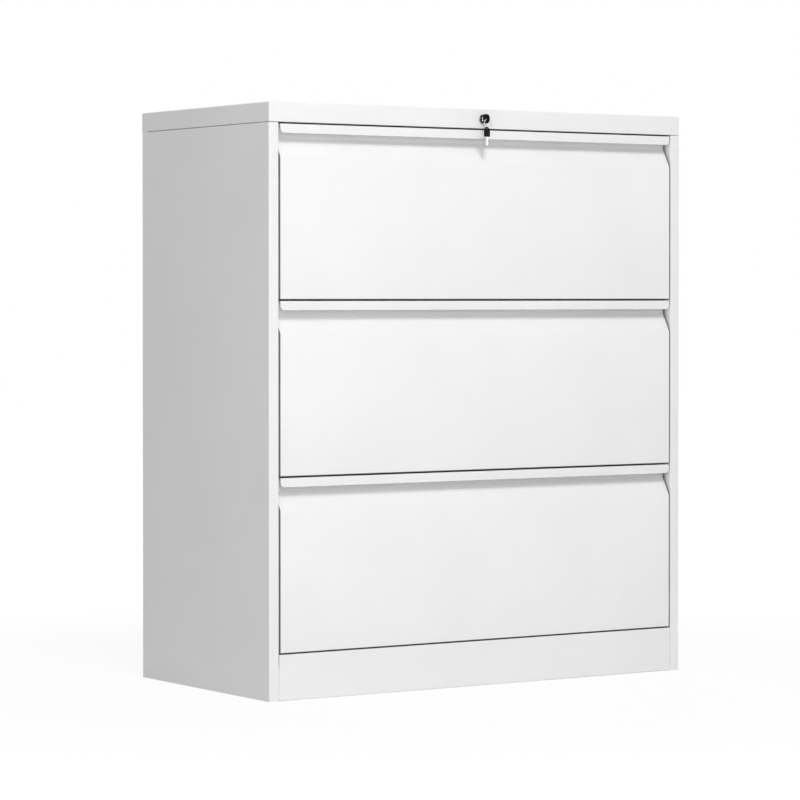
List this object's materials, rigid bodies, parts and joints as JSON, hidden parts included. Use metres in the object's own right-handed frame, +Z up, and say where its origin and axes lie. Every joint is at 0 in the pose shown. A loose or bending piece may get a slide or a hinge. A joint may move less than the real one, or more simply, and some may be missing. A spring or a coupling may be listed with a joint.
{
  "type": "lateral filing cabinet",
  "caption": "Lateral filing cabinet of white powder-coated sheet steel with full-width drawers, folded finger pulls, telescopic slides and a central lock with its key.",
  "frame": {"origin": "middle of the whole part's outline on the floor, key included, so the carcass front stands at y = -0.2145 and its back at y = +0.2355", "axes": "+X to the right seen from the front, +Y from the drawer fronts to the back, +Z up"},
  "size_m": [0.9, 0.471, 1.04],
  "materials": {
    "cabinet_paint": "white powder coat, fine orange peel, satin",
    "zinc_steel": "bright zinc plating",
    "lock_chrome": "polished",
    "key_plastic": "moulded, fine grain",
    "key_nickel": "nickel plated"
  },
  "bodies": {
    "cabinet": {"left_side_panel": "cabinet_paint", "right_side_panel": "cabinet_paint", "top_panel": "cabinet_paint", "back_panel": "cabinet_paint", "base_panel": "cabinet_paint", "plinth": "cabinet_paint", "left_front_upright": "cabinet_paint", "left_rear_upright": "cabinet_paint", "right_front_upright": "cabinet_paint", "right_rear_upright": "cabinet_paint", "drawer_1_left_slide_outer": "zinc_steel", "drawer_1_right_slide_outer": "zinc_steel", "drawer_2_left_slide_outer": "zinc_steel", "drawer_2_right_slide_outer": "zinc_steel", "drawer_3_left_slide_outer": "zinc_steel", "drawer_3_right_slide_outer": "zinc_steel", "lock_housing": "lock_chrome", "lock_nut": "zinc_steel", "crank_pivot": "zinc_steel"},
    "drawer_1": {"drawer_1_front": "cabinet_paint", "drawer_1_liner": "cabinet_paint", "drawer_1_tub": "cabinet_paint", "drawer_1_front_rail": "zinc_steel", "drawer_1_rear_rail": "zinc_steel", "drawer_1_catch": "zinc_steel", "drawer_1_left_slide_inner": "zinc_steel", "drawer_1_right_slide_inner": "zinc_steel"},
    "drawer_2": {"drawer_2_front": "cabinet_paint", "drawer_2_liner": "cabinet_paint", "drawer_2_tub": "cabinet_paint", "drawer_2_front_rail": "zinc_steel", "drawer_2_rear_rail": "zinc_steel", "drawer_2_catch": "zinc_steel", "drawer_2_left_slide_inner": "zinc_steel", "drawer_2_right_slide_inner": "zinc_steel"},
    "drawer_3": {"drawer_3_front": "cabinet_paint", "drawer_3_liner": "cabinet_paint", "drawer_3_tub": "cabinet_paint", "drawer_3_front_rail": "zinc_steel", "drawer_3_rear_rail": "zinc_steel", "drawer_3_catch": "zinc_steel", "drawer_3_left_slide_inner": "zinc_steel", "drawer_3_right_slide_inner": "zinc_steel"},
    "drawer_1_left_runner": {"drawer_1_left_slide_middle": "zinc_steel"},
    "drawer_1_right_runner": {"drawer_1_right_slide_middle": "zinc_steel"},
    "drawer_2_left_runner": {"drawer_2_left_slide_middle": "zinc_steel"},
    "drawer_2_right_runner": {"drawer_2_right_slide_middle": "zinc_steel"},
    "drawer_3_left_runner": {"drawer_3_left_slide_middle": "zinc_steel"},
    "drawer_3_right_runner": {"drawer_3_right_slide_middle": "zinc_steel"},
    "lock_plug": {"lock_plug": "lock_chrome", "lock_cam": "zinc_steel"},
    "transfer_bar": {"transfer_bar": "zinc_steel"},
    "crank": {"crank": "zinc_steel"},
    "lock_bar": {"lock_bar": "zinc_steel"},
    "key": {"key_head": "key_plastic", "key_blade": "key_nickel"},
    "key_ring": {"key_ring": "key_nickel"}
  },
  "joints": [
    {"name": "drawer_1_slide", "type": "slide", "parent": "cabinet", "child": "drawer_1", "axis": [0, -1, 0], "range_m": [0, 0.38]},
    {"name": "drawer_2_slide", "type": "slide", "parent": "cabinet", "child": "drawer_2", "axis": [0, -1, 0], "range_m": [0, 0.38]},
    {"name": "drawer_3_slide", "type": "slide", "parent": "cabinet", "child": "drawer_3", "axis": [0, -1, 0], "range_m": [0, 0.38]},
    {"name": "drawer_1_left_runner_slide", "type": "slide", "parent": "cabinet", "child": "drawer_1_left_runner", "axis": [0, -1, 0], "range_m": [0, 0.19]},
    {"name": "drawer_1_right_runner_slide", "type": "slide", "parent": "cabinet", "child": "drawer_1_right_runner", "axis": [0, -1, 0], "range_m": [0, 0.19]},
    {"name": "drawer_2_left_runner_slide", "type": "slide", "parent": "cabinet", "child": "drawer_2_left_runner", "axis": [0, -1, 0], "range_m": [0, 0.19]},
    {"name": "drawer_2_right_runner_slide", "type": "slide", "parent": "cabinet", "child": "drawer_2_right_runner", "axis": [0, -1, 0], "range_m": [0, 0.19]},
    {"name": "drawer_3_left_runner_slide", "type": "slide", "parent": "cabinet", "child": "drawer_3_left_runner", "axis": [0, -1, 0], "range_m": [0, 0.19]},
    {"name": "drawer_3_right_runner_slide", "type": "slide", "parent": "cabinet", "child": "drawer_3_right_runner", "axis": [0, -1, 0], "range_m": [0, 0.19]},
    {"name": "transfer_bar_slide", "type": "slide", "parent": "cabinet", "child": "transfer_bar", "axis": [-1, 0, 0], "range_m": [0, 0.01414]},
    {"name": "lock_turn", "type": "hinge", "parent": "cabinet", "child": "lock_plug", "pos_m": [0, -0.2145, 1.0225], "axis": [0, 1, 0], "range_deg": [0, 90.02]},
    {"name": "crank_turn", "type": "hinge", "parent": "cabinet", "child": "crank", "pos_m": [-0.434, -0.1845, 0.99396], "axis": [0, -1, 0], "range_deg": [0, 38.95]},
    {"name": "lock_bar_drop", "type": "slide", "parent": "cabinet", "child": "lock_bar", "axis": [0, 0, -1], "range_m": [0, 0.00849]},
    {"name": "key_draw", "type": "slide", "parent": "lock_plug", "child": "key", "axis": [0, -1, 0], "range_m": [0, 0.02]},
    {"name": "ring_turn", "type": "hinge", "parent": "key", "child": "key_ring", "pos_m": [0, -0.2315, 1.0136], "axis": [0, 1, 0], "range_deg": [-90.02, 0]}
  ],
  "couplings": [
    {"joint": "drawer_1_left_runner_slide", "follows": "drawer_1_slide", "ratio": 0.5},
    {"joint": "drawer_1_right_runner_slide", "follows": "drawer_1_slide", "ratio": 0.5},
    {"joint": "drawer_2_left_runner_slide", "follows": "drawer_2_slide", "ratio": 0.5},
    {"joint": "drawer_2_right_runner_slide", "follows": "drawer_2_slide", "ratio": 0.5},
    {"joint": "drawer_3_left_runner_slide", "follows": "drawer_3_slide", "ratio": 0.5},
    {"joint": "drawer_3_right_runner_slide", "follows": "drawer_3_slide", "ratio": 0.5},
    {"joint": "lock_turn", "follows": "transfer_bar_slide", "rad_per_m": 111.07},
    {"joint": "crank_turn", "follows": "transfer_bar_slide", "rad_per_m": 48.06},
    {"joint": "lock_bar_drop", "follows": "transfer_bar_slide", "ratio": 0.6},
    {"joint": "ring_turn", "follows": "transfer_bar_slide", "rad_per_m": -111.07}
  ]
}
